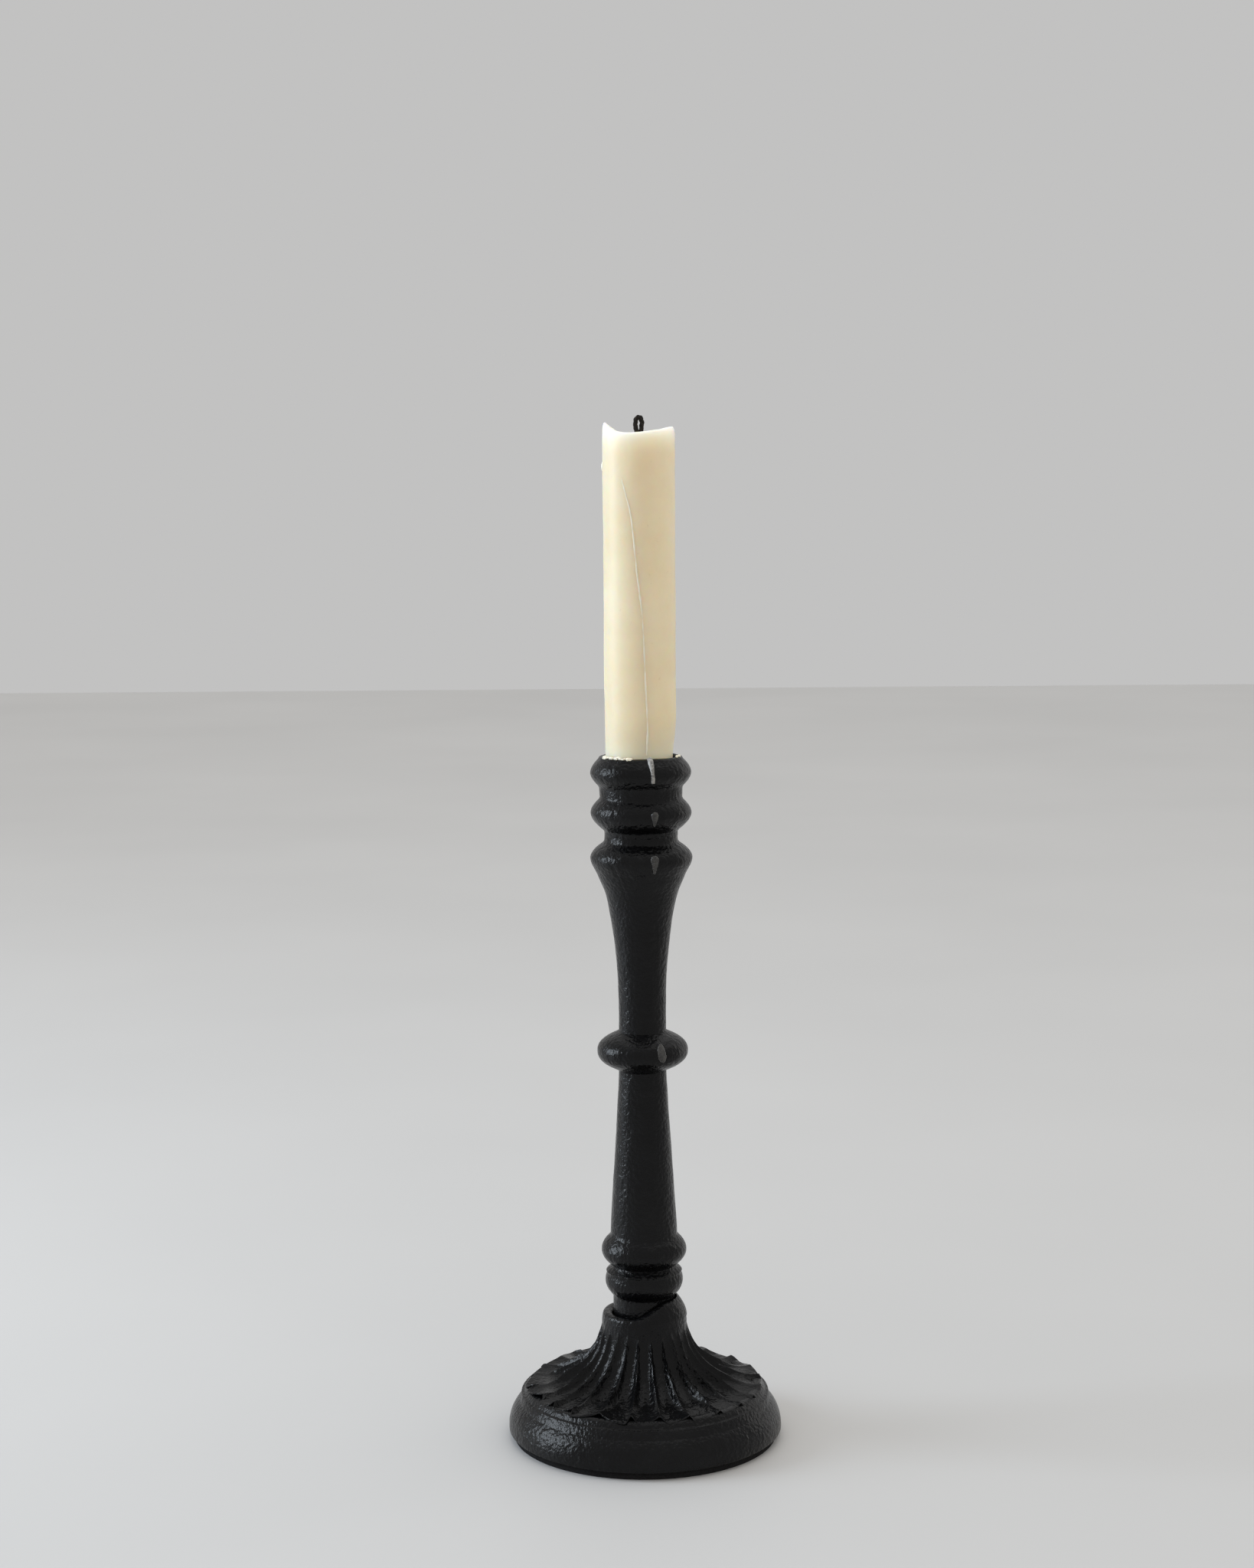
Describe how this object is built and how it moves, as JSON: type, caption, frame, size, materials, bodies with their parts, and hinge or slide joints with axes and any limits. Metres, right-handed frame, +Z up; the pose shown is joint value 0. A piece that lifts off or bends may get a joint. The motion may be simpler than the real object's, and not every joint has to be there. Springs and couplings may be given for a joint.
{
  "type": "candlestick",
  "caption": "Cast-iron candlestick with ringed socket, knopped shaft and fluted round foot, holding one dinner candle that lifts out.",
  "frame": {"origin": "centre of the felt pad's underside, on the surface the candlestick stands on", "axes": "+Z up along the stem and candle, -Y towards the front, where the wax run is"},
  "size_m": [0.086, 0.086, 0.319],
  "materials": {
    "cast_iron_black": "satin black paint over sand-cast grain",
    "felt": "matt felt",
    "zinc_steel": "zinc plated",
    "candle_wax": "translucent cream wax",
    "spilt_wax": "thin clear wax",
    "charred_wick": "charred cotton braid"
  },
  "bodies": {
    "holder": {"foot": "cast_iron_black", "stem": "cast_iron_black", "felt_pad": "felt", "fixing_bolt": "zinc_steel", "plain_washer": "zinc_steel", "spring_washer": "zinc_steel", "rim_wax_left": "spilt_wax", "rim_wax_right": "spilt_wax", "rim_drip": "spilt_wax", "ring_drop_middle": "spilt_wax", "ring_drop_lower": "spilt_wax", "knop_drop": "spilt_wax"},
    "candle": {"candle_body": "candle_wax", "wick": "charred_wick", "wax_run": "candle_wax", "side_bead": "candle_wax"}
  },
  "joints": [
    {"name": "candle_lift", "type": "slide", "parent": "holder", "child": "candle", "axis": [0, 0, 1], "range_m": [0, 0.04]}
  ]
}
